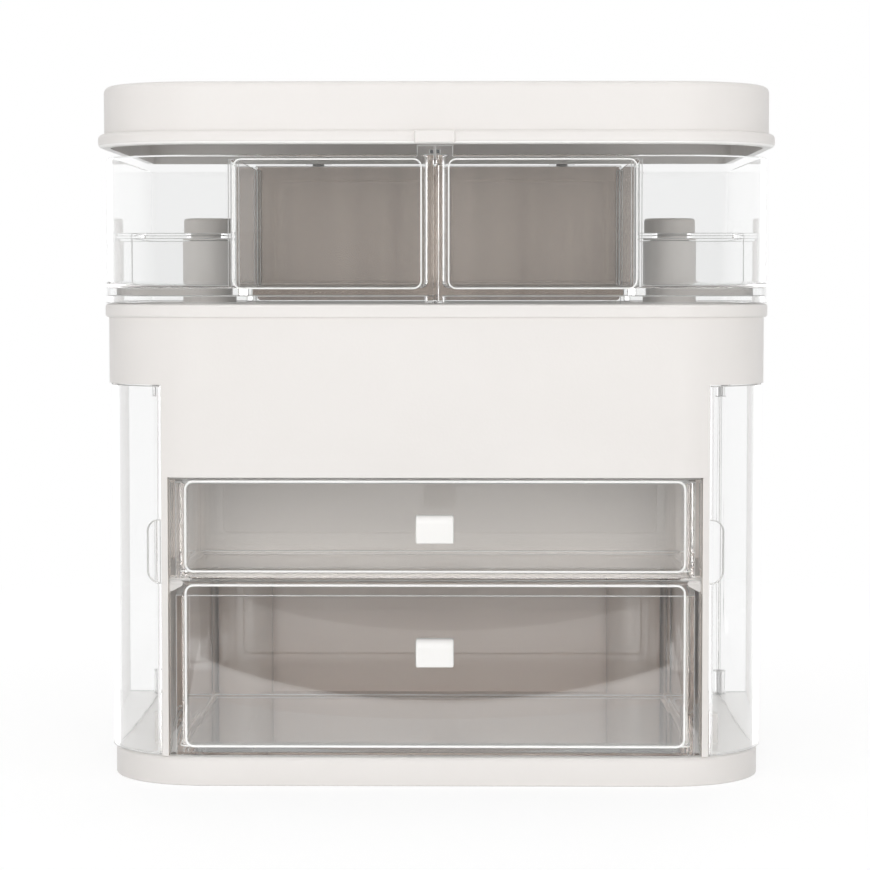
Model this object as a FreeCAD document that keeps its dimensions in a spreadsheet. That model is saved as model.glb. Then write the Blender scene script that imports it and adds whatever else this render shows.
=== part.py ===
import FreeCAD, Part
import Sketcher
import math
import os
from types import SimpleNamespace

# Vanity box: a white body with two clear drawers and two clear side doors, two clear trays that swing
# out over it, a tall bin with a mirror behind them, and a hinged lid.
# Frame: origin at the middle of the underside, +X to the right, the front faces -Y, +Z up.

# Driving sizes in millimetres. Every other size is worked out from these.
SIZES = {
    # Plan
    "base_width": 301.0,
    "base_depth": 210.0,
    "front_corner_radius": 45.0,
    "rear_corner_radius": 6.0,
    "side_flare": 2.35,
    # Heights, from the floor up
    "base_height": 13.3,
    "bay_height": 127.7,
    "window_rise": 42.0,
    "skirt_height": 30.4,
    "band_height": 6.3,
    "wing_gap": 0.5,
    "wing_skirt_height": 3.1,
    "wing_floor_thickness": 3.6,
    "wing_wall_height": 60.1,
    "lid_gap": 4.7,
    "lip_height": 6.3,
    "lid_height": 28.3,
    # Walls and general clearances
    "shell_wall": 2.8,
    "clear_wall": 2.8,
    "back_wall": 3.0,
    "run_clearance": 0.3,
    "press_clearance": 0.05,
    "cut_overrun": 2.0,
    "rim_round": 0.7,
    # Base and its cover
    "base_wall": 3.0,
    "base_deck": 2.5,
    "base_top_round": 2.0,
    "base_foot_round": 0.8,
    "cover_thickness": 2.5,
    "cover_gap": 0.3,
    "base_boss_radius": 5.0,
    "rib_width": 2.0,
    "rib_height": 1.2,
    "rib_length": 160.0,
    "rib_setback": 0.7,
    "outer_rib_place": 114.0,
    "inner_rib_place": 90.0,
    # Screws
    "screw_radius": 1.6,
    "screw_head_radius": 3.2,
    "screw_head_height": 1.4,
    "screw_reach": 11.0,
    "screw_recess": 0.2,
    "screw_slot_width": 0.8,
    "screw_slot_depth": 0.6,
    # Lower frame
    "bay_width": 243.4,
    "bay_wall": 3.0,
    "pillar_land": 0.6,
    "column_radius": 16.0,
    "column_wall": 2.5,
    "column_place": 103.0,
    "column_bite": 0.5,
    "column_plug": 17.0,
    "frame_boss_radius": 4.5,
    "frame_boss_inset": 3.6,
    "frame_boss_height": 14.0,
    "frame_boss_setback": 45.0,
    # Drawers
    "drawer_gap": 0.6,
    "drawer_front_thickness": 3.5,
    "drawer_front_round": 2.0,
    "drawer_flange_depth": 6.5,
    "drawer_side_gap": 3.7,
    "drawer_wall": 2.5,
    "drawer_floor": 2.7,
    "drawer_corner_radius": 4.0,
    "drawer_floor_round": 2.6,
    "top_front_height": 45.4,
    "top_drawer_length": 101.0,
    "top_side_drop": 2.1,
    "lower_drawer_length": 165.0,
    "runner_width": 9.7,
    "runner_lip": 1.6,
    "runner_depth": 7.2,
    "runner_setback": 0.7,
    "bulkhead_gap": 0.6,
    "bulkhead_thickness": 2.5,
    # Pulls
    "pull_width": 17.2,
    "pull_height": 12.6,
    "pull_depth": 8.5,
    "pull_top_round": 4.0,
    "pull_foot_round": 1.0,
    "pull_edge_round": 1.0,
    "pull_scoop_radius": 3.1,
    "pull_scoop_rise": 0.6,
    "pull_cheek": 2.2,
    "top_pull_drop": 22.4,
    "lower_pull_drop": 31.9,
    # Upper housing
    "band_proud": 1.65,
    "band_round": 1.5,
    "bin_corner_radius": 12.0,
    "housing_deck": 2.5,
    "housing_floor": 2.5,
    # Tall bin and mirror
    "tower_width": 182.0,
    "tower_depth": 70.0,
    "tower_wall": 2.5,
    "tower_step": 4.5,
    "tower_drop": 46.0,
    "tower_rise": 0.6,
    "tower_seat_gap": 0.4,
    "mirror_thickness": 2.0,
    "mirror_margin": 0.5,
    "mirror_corner_radius": 2.0,
    "mirror_foot_gap": 1.0,
    # Swing-out trays
    "wing_proud": 1.15,
    "seam_gap": 0.4,
    "wing_back_gap": 0.6,
    "wing_side_gap": 1.6,
    "wing_tail": 18.8,
    "wing_tail_radius": 15.0,
    "wing_seam_radius": 1.0,
    "wing_inner_radius": 3.4,
    "wing_floor_round": 3.0,
    "step_length": 78.0,
    "step_height": 26.6,
    "step_deck": 2.5,
    "tab_width": 7.6,
    "tab_height": 4.4,
    "divider_place": 91.0,
    "divider_thickness": 2.0,
    "divider_drop": 2.0,
    "divider_corner": 3.6,
    "slot_rib_width": 1.2,
    "slot_rib_depth": 1.5,
    "slot_gap": 0.2,
    "magnet_radius": 1.0,
    "magnet_length": 2.0,
    "magnet_drop": 2.8,
    # Tray pivots
    "pivot_place": 118.7,
    "pivot_back": 30.0,
    "post_radius": 14.0,
    "neck_radius": 10.0,
    "cap_radius": 13.4,
    "cap_height": 8.6,
    "cap_round": 1.5,
    "cap_recess": 2.0,
    # Lid and its hinges
    "lid_proud": 1.85,
    "lip_proud": 2.8,
    "lid_roof": 3.0,
    "lid_top_round": 3.0,
    "lip_round": 2.2,
    "thumb_width": 18.6,
    "thumb_proud": 1.2,
    "thumb_round": 1.1,
    "thumb_margin": 0.5,
    "hinge_place": 64.0,
    "hinge_setback": 0.35,
    "hinge_rise": 2.4,
    "knuckle_radius": 2.6,
    "knuckle_width": 6.0,
    "ear_width": 3.4,
    "hinge_side_gap": 0.3,
    "hinge_pin_radius": 1.2,
    "notch_gap": 0.5,
    "leaf_thickness": 1.7,
    "leaf_height": 6.0,
    "bracket_foot": 33.0,
    "bracket_neck": 8.0,
    "bracket_thickness": 3.0,
    # Side doors
    "door_flare": 1.2,
    "door_edge_gap": 0.7,
    "door_end_gap": 0.7,
    "door_edge_round": 1.0,
    "barrel_radius": 2.9,
    "barrel_height": 12.0,
    "barrel_cover": 0.6,
    "barrel_back_gap": 0.9,
    "door_pin_radius": 1.2,
    "grip_depth": 6.0,
    "grip_height": 29.0,
    "grip_radius": 5.6,
    "grip_drop": 75.5,
}

SIDES = {"left": -1, "right": 1}
SAME = 1e-4
# Largest share of a ledge or wall that a round on its edge may take
ROUND_SHARE = 0.9

doc = FreeCAD.newDocument("makeup_box")
sheet = doc.addObject("Spreadsheet::Sheet", "sizes")
for row, (alias, value) in enumerate(SIZES.items(), start=1):
    sheet.set(f"A{row}", alias)
    sheet.set(f"B{row}", str(value))
    sheet.setAlias(f"B{row}", alias)
doc.recompute()

pieces = []


class Length:
    """A length that knows its value and the sheet formula that gives it."""

    def __init__(self, value, formula):
        self.value = value
        self.formula = formula

    def __add__(self, other):
        return Length(self.value + other.value, f"({self.formula} + {other.formula})")

    def __sub__(self, other):
        return Length(self.value - other.value, f"({self.formula} - {other.formula})")

    def __mul__(self, factor):
        return Length(self.value * factor, f"({self.formula} * ({factor}))")

    def __truediv__(self, divisor):
        return Length(self.value / divisor, f"({self.formula} / {divisor})")

    def __neg__(self):
        return Length(-self.value, f"(-{self.formula})")

    def at_most(self, other):
        return Length(min(self.value, other.value), f"min({self.formula}; {other.formula})")


s = SimpleNamespace(**{alias: Length(value, f"sizes.{alias}") for alias, value in SIZES.items()})
zero = Length(0.0, "0")

# Places in plan
half_x = s.base_width / 2
half_y = s.base_depth / 2
front = -half_y
rear = half_y
back_inner = rear - s.back_wall
bay_half = s.bay_width / 2
drawer_back = front + s.drawer_flange_depth
bulkhead_front = front + s.top_drawer_length + s.bulkhead_gap
front_stock = front - s.cut_overrun
stile_outer = bay_half + s.bay_wall
pillar_front = rear - s.rear_corner_radius - s.pillar_land
column_y = back_inner - s.column_radius + s.column_bite
frame_boss_x = stile_outer + s.frame_boss_inset
frame_boss_y = front + s.frame_boss_setback
tower_half = s.tower_width / 2
tower_front = back_inner - s.tower_depth
bin_rear = tower_front - s.tower_seat_gap - s.shell_wall
pivot_y = rear - s.pivot_back
door_half = half_x + s.door_flare
door_axis_x = door_half - s.barrel_radius - s.barrel_cover
door_axis_y = pillar_front - s.barrel_radius - s.barrel_cover - s.barrel_back_gap
hinge_y = rear + s.lid_proud + s.lip_proud + s.hinge_setback

# Levels, from the floor up
base_top = s.base_height
bay_top = base_top + s.bay_height
window_top = bay_top + s.window_rise
deck_top = window_top + s.housing_deck
skirt_top = window_top + s.skirt_height
band_top = skirt_top + s.band_height
wing_bottom = band_top + s.wing_gap
wing_floor_under = wing_bottom + s.wing_skirt_height
wing_floor = wing_floor_under + s.wing_floor_thickness
wing_top = wing_floor + s.wing_wall_height
step_top = wing_floor + s.step_height
tower_top = wing_top + s.tower_rise
lid_bottom = wing_top + s.lid_gap
lip_top = lid_bottom + s.lip_height
lid_top = lid_bottom + s.lid_height
hinge_z = lid_bottom + s.hinge_rise
top_front_top = bay_top - s.drawer_gap
top_front_bottom = top_front_top - s.top_front_height
runner_top = top_front_bottom - s.run_clearance
runner_bottom = runner_top - s.runner_depth
lower_front_bottom = base_top + s.drawer_gap
lower_front_top = top_front_bottom - s.drawer_gap * 2
door_bottom = base_top + s.door_end_gap
door_top = window_top - s.door_end_gap


# Sketches and features

def new_body(label):
    body = doc.addObject("PartDesign::Body", label)
    body.Label = label
    pieces.append(body)
    return body


def vector(point):
    return FreeCAD.Vector(point[0].value, point[1].value, 0)


def direction(start, end):
    """Unit steps along X and Y from one corner to the next, for edges along the axes."""
    run = vector(end) - vector(start)
    run.normalize()
    return round(run.x), round(run.y)


def corner_points(corners):
    """The points where each corner's curve starts and ends, and the centre of the curve."""
    points = []
    for index, (x, y, *radius) in enumerate(corners):
        if not radius:
            points.append(((x, y), (x, y), None, None))
            continue
        r = radius[0]
        in_x, in_y = direction(corners[index - 1], (x, y))
        out_x, out_y = direction((x, y), corners[(index + 1) % len(corners)])
        starts = (x - r * in_x, y - r * in_y)
        ends = (x + r * out_x, y + r * out_y)
        centre = (starts[0] + r * out_x, starts[1] + r * out_y)
        points.append((starts, ends, centre, (r, in_x * out_y - in_y * out_x)))
    return points


def hold_point(rules, geometry, position, point):
    for kind, length in zip(("DistanceX", "DistanceY"), point):
        rule = Sketcher.Constraint(kind, -1, 1, geometry, position, length.value)
        rules.append((rule, length.formula))


def draw_outline(sketch, corners):
    """A closed outline of straight edges, with an arc at each corner that has a radius."""
    points = corner_points(corners)
    count = len(points)
    rules = []
    lines = []
    for index in range(count):
        start = points[index][1]
        end = points[(index + 1) % count][0]
        lines.append(sketch.addGeometry(Part.LineSegment(vector(start), vector(end)), False))
    for index, (starts, ends, centre, curve) in enumerate(points):
        before = lines[index - 1]
        after = lines[index]
        hold_point(rules, after, 1, ends)
        if curve is None:
            rules.append((Sketcher.Constraint("Coincident", before, 2, after, 1), None))
            continue
        radius, turn = curve
        first, last = (starts, ends) if turn > 0 else (ends, starts)
        spoke = vector(first) - vector(centre)
        angle = math.atan2(spoke.y, spoke.x)
        circle = Part.Circle(vector(centre), FreeCAD.Vector(0, 0, 1), radius.value)
        arc = sketch.addGeometry(Part.ArcOfCircle(circle, angle, angle + math.pi / 2), False)
        hold_point(rules, before, 2, starts)
        end_before, end_after = (1, 2) if turn > 0 else (2, 1)
        rules.append((Sketcher.Constraint("Coincident", before, 2, arc, end_before), None))
        rules.append((Sketcher.Constraint("Coincident", after, 1, arc, end_after), None))
        rules.append((Sketcher.Constraint("Radius", arc, radius.value), radius.formula))
    return rules


def draw_circle(sketch, x, y, radius):
    circle = Part.Circle(vector((x, y)), FreeCAD.Vector(0, 0, 1), radius.value)
    geometry = sketch.addGeometry(circle, False)
    rules = [(Sketcher.Constraint("Radius", geometry, radius.value), radius.formula)]
    hold_point(rules, geometry, 3, (x, y))
    return rules


def new_sketch(body, name, outlines, plane, level):
    """A sketch on one of the body's own planes, lifted along that plane's normal."""
    sketch = body.newObject("Sketcher::SketchObject", f"{body.Name}_{name}_sketch")
    support = next(f for f in body.Origin.OriginFeatures if f.Role == plane)
    sketch.AttachmentSupport = [(support, "")]
    sketch.MapMode = "FlatFace"
    sketch.setExpression("AttachmentOffset.Base.z", level.formula)
    rules = []
    for outline in outlines:
        if isinstance(outline, dict):
            rules += draw_circle(sketch, **outline)
        else:
            rules += draw_outline(sketch, outline)
    places = sketch.addConstraint([rule for rule, formula in rules])
    for place, (rule, formula) in zip(places, rules):
        if formula:
            sketch.setExpression(f"Constraints[{place}]", formula)
    return sketch


def pad(body, name, outlines, low, high, plane="XY_Plane"):
    """Material between two levels along the plane's normal."""
    feature = body.newObject("PartDesign::Pad", f"{body.Name}_{name}")
    feature.Profile = new_sketch(body, name, outlines, plane, low)
    feature.setExpression("Length", (high - low).formula)
    return feature


def pocket(body, name, outlines, low, high, plane="XY_Plane"):
    """A cut between two levels, made from the higher one down; it has to take material away."""
    doc.recompute()
    before = body.Shape.Volume
    feature = body.newObject("PartDesign::Pocket", f"{body.Name}_{name}")
    feature.Profile = new_sketch(body, name, outlines, plane, high)
    feature.setExpression("Length", (high - low).formula)
    doc.recompute()
    if body.Shape.Volume > before - SAME:
        raise RuntimeError(f"{body.Name} {name} cuts nothing")
    return feature


def fillet(body, name, radius, wanted):
    """A round on every edge of the body so far that the test picks."""
    doc.recompute()
    base = body.Tip
    names = [f"Edge{i}" for i, edge in enumerate(base.Shape.Edges, start=1) if wanted(edge.BoundBox)]
    feature = body.newObject("PartDesign::Fillet", f"{body.Name}_{name}")
    feature.Base = (base, names)
    feature.setExpression("Radius", radius.formula)
    return feature


def at_level(*levels):
    def test(box):
        return any(abs(box.ZMin - z.value) < SAME and abs(box.ZMax - z.value) < SAME for z in levels)
    return test


def rectangle(x0, x1, y0, y1):
    return [(x0, y0), (x1, y0), (x1, y1), (x0, y1)]


def circle(x, y, radius):
    return {"x": x, "y": y, "radius": radius}


def plan(proud, inset=zero):
    """Plan of the flared upper body, let out by proud and drawn in by inset."""
    x = half_x + s.side_flare + proud - inset
    y = half_y + proud - inset
    front_round = s.front_corner_radius + proud - inset
    rear_round = s.rear_corner_radius + proud - inset
    return [(-x, -y, front_round), (x, -y, front_round), (x, y, rear_round), (-x, y, rear_round)]


def base_plan(inset):
    x = half_x - inset
    y = half_y - inset
    front_round = s.front_corner_radius - inset
    rear_round = s.rear_corner_radius - inset
    return [(-x, -y, front_round), (x, -y, front_round), (x, y, rear_round), (-x, y, rear_round)]


def lower_plan():
    """Plan of the body between the base and the skirt, which the drawers and doors follow."""
    x = door_half
    return [
        (-x, front, s.front_corner_radius),
        (x, front, s.front_corner_radius),
        (x, rear, s.rear_corner_radius),
        (-x, rear, s.rear_corner_radius),
    ]


def trim_to(body, outline, low, high):
    """Take off whatever stands outside an outline."""
    x = half_x + s.side_flare + s.cut_overrun
    y = half_y + s.cut_overrun * 2
    pocket(body, "trim", [rectangle(-x, x, -y, y), outline], low, high)


def both_sides(x, y, radius):
    return [circle(x * sign, y, radius) for sign in SIDES.values()]


def base_screw_circles(radius):
    return both_sides(s.column_place, column_y, radius) + both_sides(frame_boss_x, frame_boss_y, radius)


def cylinder(name, radius, x, y, low, high):
    """An upright round bar between two levels."""
    bar = doc.addObject("Part::Cylinder", name)
    bar.setExpression("Radius", radius.formula)
    bar.setExpression("Height", (high - low).formula)
    bar.setExpression("Placement.Base.x", x.formula)
    bar.setExpression("Placement.Base.y", y.formula)
    bar.setExpression("Placement.Base.z", low.formula)
    return bar


def cross_cylinder(label, radius, low_x, high_x, y, z):
    """A round bar along X."""
    bar = doc.addObject("Part::Cylinder", label)
    bar.Label = label
    bar.Placement = FreeCAD.Placement(FreeCAD.Vector(), FreeCAD.Rotation(FreeCAD.Vector(0, 1, 0), 90))
    bar.setExpression("Radius", radius.formula)
    bar.setExpression("Height", (high_x - low_x).formula)
    bar.setExpression("Placement.Base.x", low_x.formula)
    bar.setExpression("Placement.Base.y", y.formula)
    bar.setExpression("Placement.Base.z", z.formula)
    pieces.append(bar)
    return bar


def group(label, members):
    """Identical small pieces kept together as separate solids."""
    compound = doc.addObject("Part::Compound", label)
    compound.Label = label
    compound.Links = members
    pieces.append(compound)
    return compound


def screw(name, x, y, seat, tip, up):
    """A slotted screw whose head lies on the seat; up is 1 for a head above it and -1 for one below."""
    head_end = seat + s.screw_head_height * up
    shank = cylinder(f"{name}_shank", s.screw_radius, x, y, *sorted((tip, seat), key=lambda z: z.value))
    head_span = sorted((seat, head_end), key=lambda z: z.value)
    head = cylinder(f"{name}_head", s.screw_head_radius, x, y, *head_span)
    blank = doc.addObject("Part::Fuse", f"{name}_blank")
    blank.Base = head
    blank.Tool = shank
    slot = doc.addObject("Part::Box", f"{name}_slot")
    slot.setExpression("Length", (s.screw_head_radius * 2).formula)
    slot.setExpression("Width", s.screw_slot_width.formula)
    slot.setExpression("Height", s.screw_slot_depth.formula)
    slot_low = head_end - s.screw_slot_depth if up > 0 else head_end
    slot.setExpression("Placement.Base.x", (x - s.screw_head_radius).formula)
    slot.setExpression("Placement.Base.y", (y - s.screw_slot_width / 2).formula)
    slot.setExpression("Placement.Base.z", slot_low.formula)
    finished = doc.addObject("Part::Cut", name)
    finished.Base = blank
    finished.Tool = slot
    return finished


# Base

def make_base_shell():
    body = new_body("base_shell")
    pad(body, "block", [base_plan(zero)], zero, base_top)
    fillet(body, "top_round", s.base_top_round, at_level(base_top))
    fillet(body, "foot_round", s.base_foot_round, at_level(zero))
    hollow_top = base_top - s.base_deck
    pocket(body, "hollow", [base_plan(s.base_wall)], zero, hollow_top)
    bosses = base_screw_circles(s.base_boss_radius)
    pad(body, "bosses", bosses, s.cover_thickness, base_top - s.base_deck / 2)
    screw_hole = s.screw_radius + s.press_clearance
    pocket(body, "screw_holes", base_screw_circles(screw_hole), s.cover_thickness, base_top)
    pin_hole = s.door_pin_radius + s.press_clearance
    pocket(body, "pin_holes", both_sides(door_axis_x, door_axis_y, pin_hole), hollow_top, base_top)
    rib_front = drawer_back + s.rib_setback
    rib_rear = rib_front + s.rib_length
    ribs = []
    for sign in SIDES.values():
        for place in (s.outer_rib_place, s.inner_rib_place):
            x = place * sign
            ribs.append(rectangle(x - s.rib_width / 2, x + s.rib_width / 2, rib_front, rib_rear))
    pad(body, "ribs", ribs, base_top - s.base_deck / 2, base_top + s.rib_height)


def make_bottom_cover():
    body = new_body("bottom_cover")
    pad(body, "plate", [base_plan(s.base_wall + s.cover_gap)], zero, s.cover_thickness)
    head_hole = s.screw_head_radius + s.run_clearance
    head_seat = s.screw_recess + s.screw_head_height
    pocket(body, "head_recesses", base_screw_circles(head_hole), zero, head_seat)
    screw_hole = s.screw_radius + s.press_clearance
    pocket(body, "screw_holes", base_screw_circles(screw_hole), zero, s.cover_thickness)


def make_base_screws():
    seat = s.screw_recess + s.screw_head_height
    tip = base_top + s.screw_reach
    places = {"rear": (s.column_place, column_y), "front": (frame_boss_x, frame_boss_y)}
    screws = []
    for end, (x, y) in places.items():
        for side, sign in SIDES.items():
            screws.append(screw(f"base_screw_{end}_{side}", x * sign, y, seat, tip, -1))
    group("base_screws", screws)


# Lower frame and drawers

def make_lower_frame():
    body = new_body("lower_frame")
    outline = [
        (bay_half, front_stock),
        (stile_outer, front_stock),
        (stile_outer, rear),
        (-stile_outer, rear),
        (-stile_outer, front_stock),
        (-bay_half, front_stock),
        (-bay_half, back_inner),
        (bay_half, back_inner),
    ]
    pad(body, "walls", [outline], base_top, bay_top)
    trim_to(body, lower_plan(), base_top, bay_top)
    bulkhead_half = bay_half + s.bay_wall / 2
    bulkhead_back = bulkhead_front + s.bulkhead_thickness
    bulkhead = rectangle(-bulkhead_half, bulkhead_half, bulkhead_front, bulkhead_back)
    pad(body, "bulkhead", [bulkhead], runner_bottom, bay_top)
    pad(body, "columns", both_sides(s.column_place, column_y, s.column_radius), base_top, bay_top)
    tubes = both_sides(s.column_place, column_y, s.column_radius - s.column_wall)
    pocket(body, "column_tubes", tubes, base_top + s.column_plug, bay_top)
    bosses = both_sides(frame_boss_x, frame_boss_y, s.frame_boss_radius)
    pad(body, "bosses", bosses, base_top, base_top + s.frame_boss_height)
    screw_hole = s.screw_radius + s.press_clearance
    pocket(body, "screw_holes", base_screw_circles(screw_hole), base_top, base_top + s.screw_reach)


def make_side_back(side, sign):
    """Clear wall that closes the rear of a side compartment and turns the corner to the door."""
    body = new_body(f"side_back_{side}")
    inner = half_x - s.back_wall
    outline = [
        (stile_outer * sign, back_inner),
        (inner * sign, back_inner, s.rear_corner_radius - s.back_wall),
        (inner * sign, pillar_front),
        (half_x * sign, pillar_front),
        (half_x * sign, rear, s.rear_corner_radius),
        (stile_outer * sign, rear),
    ]
    pad(body, "wall", [outline], base_top, window_top)


def make_drawer_runner(side, sign):
    body = new_body(f"drawer_runner_{side}")
    inner = bay_half - s.runner_width
    profile = [
        (bay_half * sign, runner_top),
        (inner * sign, runner_top),
        (inner * sign, runner_top - s.runner_lip),
        (bay_half * sign, runner_bottom),
    ]
    start = drawer_back + s.runner_setback
    pad(body, "rail", [profile], -bulkhead_front, -start, "XZ_Plane")


def make_drawer(label, front_bottom, front_top, floor_bottom, side_top, length):
    body = new_body(label)
    panel_half = bay_half - s.drawer_gap
    panel_back = front + s.drawer_front_thickness
    tray_half = bay_half - s.drawer_side_gap
    tray_back = front + length
    panel = rectangle(-panel_half, panel_half, front_stock, drawer_back)
    pad(body, "front", [panel], front_bottom, front_top)
    trim_to(body, lower_plan(), front_bottom, front_top)

    def on_front(box):
        upright = box.ZMax - box.ZMin > SAME
        at_end = min(abs(box.XMin), abs(box.XMax)) > panel_half.value - SAME
        return box.YMax < drawer_back.value - SAME and (at_end or not upright)

    fillet(body, "front_round", s.drawer_front_round, on_front)
    tray = [
        (-tray_half, panel_back),
        (tray_half, panel_back),
        (tray_half, tray_back, s.drawer_corner_radius),
        (-tray_half, tray_back, s.drawer_corner_radius),
    ]
    pad(body, "tray", [tray], floor_bottom, side_top)
    x = tray_half - s.drawer_wall
    y = tray_back - s.drawer_wall
    r = s.drawer_corner_radius
    cavity = [(-x, panel_back, r), (x, panel_back, r), (x, y, r), (-x, y, r)]
    floor_top = floor_bottom + s.drawer_floor
    pocket(body, "cavity", [cavity], floor_top, side_top)
    fillet(body, "floor_round", s.drawer_floor_round, at_level(floor_top))


def make_pull(label, middle):
    body = new_body(label)
    reach = front - s.pull_depth
    top = middle + s.pull_height / 2
    foot = middle - s.pull_height / 2
    outline = [
        (front, foot),
        (front, top),
        (reach, top, s.pull_top_round),
        (reach, foot, s.pull_foot_round),
    ]
    half = s.pull_width / 2
    pad(body, "block", [outline], -half, half, "YZ_Plane")

    def on_cheek(box):
        outer = abs(abs(box.XMin) - half.value) < SAME and abs(box.XMin - box.XMax) < SAME
        return outer and box.YMin < front.value - SAME

    fillet(body, "edge_round", s.pull_edge_round, on_cheek)
    scoop = circle(front - s.pull_depth / 2, foot - s.pull_scoop_rise, s.pull_scoop_radius)
    pocket(body, "scoop", [scoop], -(half - s.pull_cheek), half - s.pull_cheek, "YZ_Plane")


def make_drawers():
    make_drawer("top_drawer", top_front_bottom, top_front_top, top_front_bottom,
                top_front_top - s.top_side_drop, s.top_drawer_length)
    make_pull("top_pull", top_front_top - s.top_pull_drop)
    make_drawer("lower_drawer", lower_front_bottom, lower_front_top,
                base_top + s.rib_height + s.run_clearance, runner_bottom - s.drawer_gap,
                s.lower_drawer_length)
    make_pull("lower_pull", lower_front_top - s.lower_pull_drop)


# Upper housing, tall bin and mirror

def make_upper_housing():
    body = new_body("upper_housing")
    pad(body, "skirt", [plan(zero)], window_top, skirt_top)
    pad(body, "band", [plan(s.band_proud)], skirt_top, band_top)

    def on_band(box):
        outer_x = max(abs(box.XMin), abs(box.XMax)) > (half_x + s.side_flare).value + SAME
        outer_y = max(abs(box.YMin), abs(box.YMax)) > half_y.value + SAME
        return at_level(skirt_top, band_top)(box) and (outer_x or outer_y)

    fillet(body, "band_round", s.band_round.at_most(s.band_proud * ROUND_SHARE), on_band)
    pad(body, "bin_block", [rectangle(-stile_outer, stile_outer, front_stock, rear)], bay_top, window_top)
    trim_to(body, plan(zero), bay_top, window_top)
    pocket(body, "well", [plan(zero, s.shell_wall)], deck_top, band_top)
    bin_half = stile_outer - s.shell_wall
    bin_front = front + s.shell_wall
    front_bin = [
        (-bin_half, bin_front, s.bin_corner_radius),
        (bin_half, bin_front, s.bin_corner_radius),
        (bin_half, bin_rear),
        (-bin_half, bin_rear),
    ]
    pocket(body, "front_bin", [front_bin], bay_top + s.housing_floor, deck_top)
    recess_half = tower_half + s.tower_seat_gap
    recess_front = tower_front - s.tower_seat_gap
    recess = rectangle(-recess_half, recess_half, recess_front, back_inner)
    pocket(body, "tower_recess", [recess], bay_top + s.housing_floor, deck_top)
    opening_half = recess_half - s.tower_step
    opening = rectangle(-opening_half, opening_half, recess_front + s.tower_step, back_inner)
    pocket(body, "tower_opening", [opening], bay_top, bay_top + s.housing_floor)
    voids = []
    for sign in SIDES.values():
        inner = (recess_half + s.shell_wall) * sign
        outer = bin_half * sign
        voids.append(rectangle(inner, outer, recess_front, back_inner))
    pocket(body, "side_voids", voids, bay_top, window_top)
    pin_hole = s.door_pin_radius + s.press_clearance
    pocket(body, "pin_holes", both_sides(door_axis_x, door_axis_y, pin_hole), window_top, deck_top)


def make_tower_bin():
    body = new_body("tower_bin")
    seat = bay_top + s.housing_floor
    foot = bay_top - s.tower_drop
    upper = rectangle(-tower_half, tower_half, tower_front, back_inner)
    pad(body, "upper", [upper], seat, tower_top)
    lower_half = tower_half - s.tower_step
    lower_front = tower_front + s.tower_step
    pad(body, "lower", [rectangle(-lower_half, lower_half, lower_front, back_inner)], foot, seat)
    wall = s.tower_wall
    upper_space = rectangle(-(tower_half - wall), tower_half - wall, tower_front + wall, back_inner - wall)
    pocket(body, "upper_space", [upper_space], seat + wall, tower_top)
    lower_space = rectangle(-(lower_half - wall), lower_half - wall, lower_front + wall, back_inner - wall)
    pocket(body, "lower_space", [lower_space], foot + wall, seat + wall)


def make_mirror_plate():
    body = new_body("mirror_plate")
    x = tower_half - s.mirror_margin
    low = band_top + s.mirror_foot_gap
    high = tower_top - s.mirror_margin
    r = s.mirror_corner_radius
    outline = [(-x, low, r), (x, low, r), (x, high, r), (-x, high, r)]
    pad(body, "glass", [outline], -tower_front, -(tower_front - s.mirror_thickness), "XZ_Plane")


# Swing-out trays

def wing_corners(sign, inset, tail_radius, corner_radius, seam_radius):
    """L-shaped plan of a tray, drawn in by inset."""
    seam = s.seam_gap + inset
    outer = half_x + s.side_flare + s.wing_proud - inset
    near = front - s.wing_proud + inset
    far = pivot_y + s.wing_tail - inset
    arm = tower_half + s.wing_side_gap + inset
    back = tower_front - s.mirror_thickness - s.wing_back_gap - inset
    front_round = s.front_corner_radius + s.wing_proud - inset
    corners = [
        (seam * sign, near, seam_radius),
        (outer * sign, near, front_round),
        (outer * sign, far, corner_radius),
        (arm * sign, far, tail_radius),
        (arm * sign, back),
        (seam * sign, back, seam_radius),
    ]
    return corners


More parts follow.
